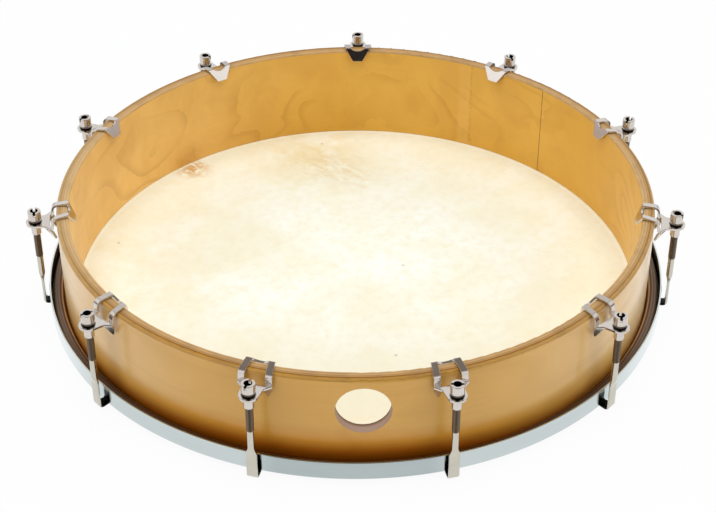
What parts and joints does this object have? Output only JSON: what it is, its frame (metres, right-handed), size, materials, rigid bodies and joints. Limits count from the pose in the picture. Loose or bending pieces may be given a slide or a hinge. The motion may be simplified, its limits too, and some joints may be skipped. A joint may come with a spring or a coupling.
{
  "type": "frame drum",
  "caption": "Shallow open-backed frame drum with a natural skin head, plywood shell with thumb hole, metal counter hoop and rim-mounted hook-bolt tensioners.",
  "frame": {"origin": "centre of the playing face, on the outer face of the skin that the drum lies on", "axes": "+Z along the drum's axis, from the playing face to the open rim; -Y through the front gap with the thumb hole"},
  "size_m": [0.5452, 0.5398, 0.0934],
  "materials": {
    "shell_plywood": "clear satin lacquer",
    "hide": "natural hide",
    "flesh_hoop_wood": "bare",
    "hoop_chrome": "polished plating",
    "hardware_nickel": "polished plating"
  },
  "bodies": {
    "drum": {"shell": "shell_plywood", "skin": "hide", "flesh_hoop": "flesh_hoop_wood", "counter_hoop": "hoop_chrome", "rim_bracket_01": "hardware_nickel", "rim_bracket_02": "hardware_nickel", "rim_bracket_03": "hardware_nickel", "rim_bracket_04": "hardware_nickel", "rim_bracket_05": "hardware_nickel", "rim_bracket_06": "hardware_nickel", "rim_bracket_07": "hardware_nickel", "rim_bracket_08": "hardware_nickel", "rim_bracket_09": "hardware_nickel", "rim_bracket_10": "hardware_nickel", "rim_bracket_11": "hardware_nickel"},
    "nut_01": {"tension_nut_01": "hardware_nickel"},
    "bolt_01": {"hook_bolt_01": "hardware_nickel"},
    "nut_02": {"tension_nut_02": "hardware_nickel"},
    "bolt_02": {"hook_bolt_02": "hardware_nickel"},
    "nut_03": {"tension_nut_03": "hardware_nickel"},
    "bolt_03": {"hook_bolt_03": "hardware_nickel"},
    "nut_04": {"tension_nut_04": "hardware_nickel"},
    "bolt_04": {"hook_bolt_04": "hardware_nickel"},
    "nut_05": {"tension_nut_05": "hardware_nickel"},
    "bolt_05": {"hook_bolt_05": "hardware_nickel"},
    "nut_06": {"tension_nut_06": "hardware_nickel"},
    "bolt_06": {"hook_bolt_06": "hardware_nickel"},
    "nut_07": {"tension_nut_07": "hardware_nickel"},
    "bolt_07": {"hook_bolt_07": "hardware_nickel"},
    "nut_08": {"tension_nut_08": "hardware_nickel"},
    "bolt_08": {"hook_bolt_08": "hardware_nickel"},
    "nut_09": {"tension_nut_09": "hardware_nickel"},
    "bolt_09": {"hook_bolt_09": "hardware_nickel"},
    "nut_10": {"tension_nut_10": "hardware_nickel"},
    "bolt_10": {"hook_bolt_10": "hardware_nickel"},
    "nut_11": {"tension_nut_11": "hardware_nickel"},
    "bolt_11": {"hook_bolt_11": "hardware_nickel"}
  },
  "joints": [
    {"name": "nut_01_turn", "type": "hinge", "parent": "drum", "child": "nut_01", "pos_m": [0, 0.2677, 0.086], "axis": [0, 0, 1], "range_deg": [0, 1441]},
    {"name": "bolt_01_travel", "type": "slide", "parent": "drum", "child": "bolt_01", "axis": [0, 0, 1], "range_m": [-0.004, 0]},
    {"name": "nut_02_turn", "type": "hinge", "parent": "drum", "child": "nut_02", "pos_m": [0.14473, 0.2252, 0.086], "axis": [0, 0, 1], "range_deg": [0, 1441]},
    {"name": "bolt_02_travel", "type": "slide", "parent": "drum", "child": "bolt_02", "axis": [0, 0, 1], "range_m": [-0.004, 0]},
    {"name": "nut_03_turn", "type": "hinge", "parent": "drum", "child": "nut_03", "pos_m": [0.24351, 0.11121, 0.086], "axis": [0, 0, 1], "range_deg": [0, 1441]},
    {"name": "bolt_03_travel", "type": "slide", "parent": "drum", "child": "bolt_03", "axis": [0, 0, 1], "range_m": [-0.004, 0]},
    {"name": "nut_04_turn", "type": "hinge", "parent": "drum", "child": "nut_04", "pos_m": [0.26498, -0.0381, 0.086], "axis": [0, 0, 1], "range_deg": [0, 1441]},
    {"name": "bolt_04_travel", "type": "slide", "parent": "drum", "child": "bolt_04", "axis": [0, 0, 1], "range_m": [-0.004, 0]},
    {"name": "nut_05_turn", "type": "hinge", "parent": "drum", "child": "nut_05", "pos_m": [0.20231, -0.17531, 0.086], "axis": [0, 0, 1], "range_deg": [0, 1441]},
    {"name": "bolt_05_travel", "type": "slide", "parent": "drum", "child": "bolt_05", "axis": [0, 0, 1], "range_m": [-0.004, 0]},
    {"name": "nut_06_turn", "type": "hinge", "parent": "drum", "child": "nut_06", "pos_m": [0.07542, -0.25686, 0.086], "axis": [0, 0, 1], "range_deg": [0, 1441]},
    {"name": "bolt_06_travel", "type": "slide", "parent": "drum", "child": "bolt_06", "axis": [0, 0, 1], "range_m": [-0.004, 0]},
    {"name": "nut_07_turn", "type": "hinge", "parent": "drum", "child": "nut_07", "pos_m": [-0.07542, -0.25686, 0.086], "axis": [0, 0, 1], "range_deg": [0, 1441]},
    {"name": "bolt_07_travel", "type": "slide", "parent": "drum", "child": "bolt_07", "axis": [0, 0, 1], "range_m": [-0.004, 0]},
    {"name": "nut_08_turn", "type": "hinge", "parent": "drum", "child": "nut_08", "pos_m": [-0.20231, -0.17531, 0.086], "axis": [0, 0, 1], "range_deg": [0, 1441]},
    {"name": "bolt_08_travel", "type": "slide", "parent": "drum", "child": "bolt_08", "axis": [0, 0, 1], "range_m": [-0.004, 0]},
    {"name": "nut_09_turn", "type": "hinge", "parent": "drum", "child": "nut_09", "pos_m": [-0.26498, -0.0381, 0.086], "axis": [0, 0, 1], "range_deg": [0, 1441]},
    {"name": "bolt_09_travel", "type": "slide", "parent": "drum", "child": "bolt_09", "axis": [0, 0, 1], "range_m": [-0.004, 0]},
    {"name": "nut_10_turn", "type": "hinge", "parent": "drum", "child": "nut_10", "pos_m": [-0.24351, 0.11121, 0.086], "axis": [0, 0, 1], "range_deg": [0, 1441]},
    {"name": "bolt_10_travel", "type": "slide", "parent": "drum", "child": "bolt_10", "axis": [0, 0, 1], "range_m": [-0.004, 0]},
    {"name": "nut_11_turn", "type": "hinge", "parent": "drum", "child": "nut_11", "pos_m": [-0.14473, 0.2252, 0.086], "axis": [0, 0, 1], "range_deg": [0, 1441]},
    {"name": "bolt_11_travel", "type": "slide", "parent": "drum", "child": "bolt_11", "axis": [0, 0, 1], "range_m": [-0.004, 0]}
  ],
  "couplings": [
    {"joint": "nut_01_turn", "follows": "bolt_01_travel", "rad_per_m": -6283.2},
    {"joint": "nut_02_turn", "follows": "bolt_02_travel", "rad_per_m": -6283.2},
    {"joint": "nut_03_turn", "follows": "bolt_03_travel", "rad_per_m": -6283.2},
    {"joint": "nut_04_turn", "follows": "bolt_04_travel", "rad_per_m": -6283.2},
    {"joint": "nut_05_turn", "follows": "bolt_05_travel", "rad_per_m": -6283.2},
    {"joint": "nut_06_turn", "follows": "bolt_06_travel", "rad_per_m": -6283.2},
    {"joint": "nut_07_turn", "follows": "bolt_07_travel", "rad_per_m": -6283.2},
    {"joint": "nut_08_turn", "follows": "bolt_08_travel", "rad_per_m": -6283.2},
    {"joint": "nut_09_turn", "follows": "bolt_09_travel", "rad_per_m": -6283.2},
    {"joint": "nut_10_turn", "follows": "bolt_10_travel", "rad_per_m": -6283.2},
    {"joint": "nut_11_turn", "follows": "bolt_11_travel", "rad_per_m": -6283.2}
  ]
}
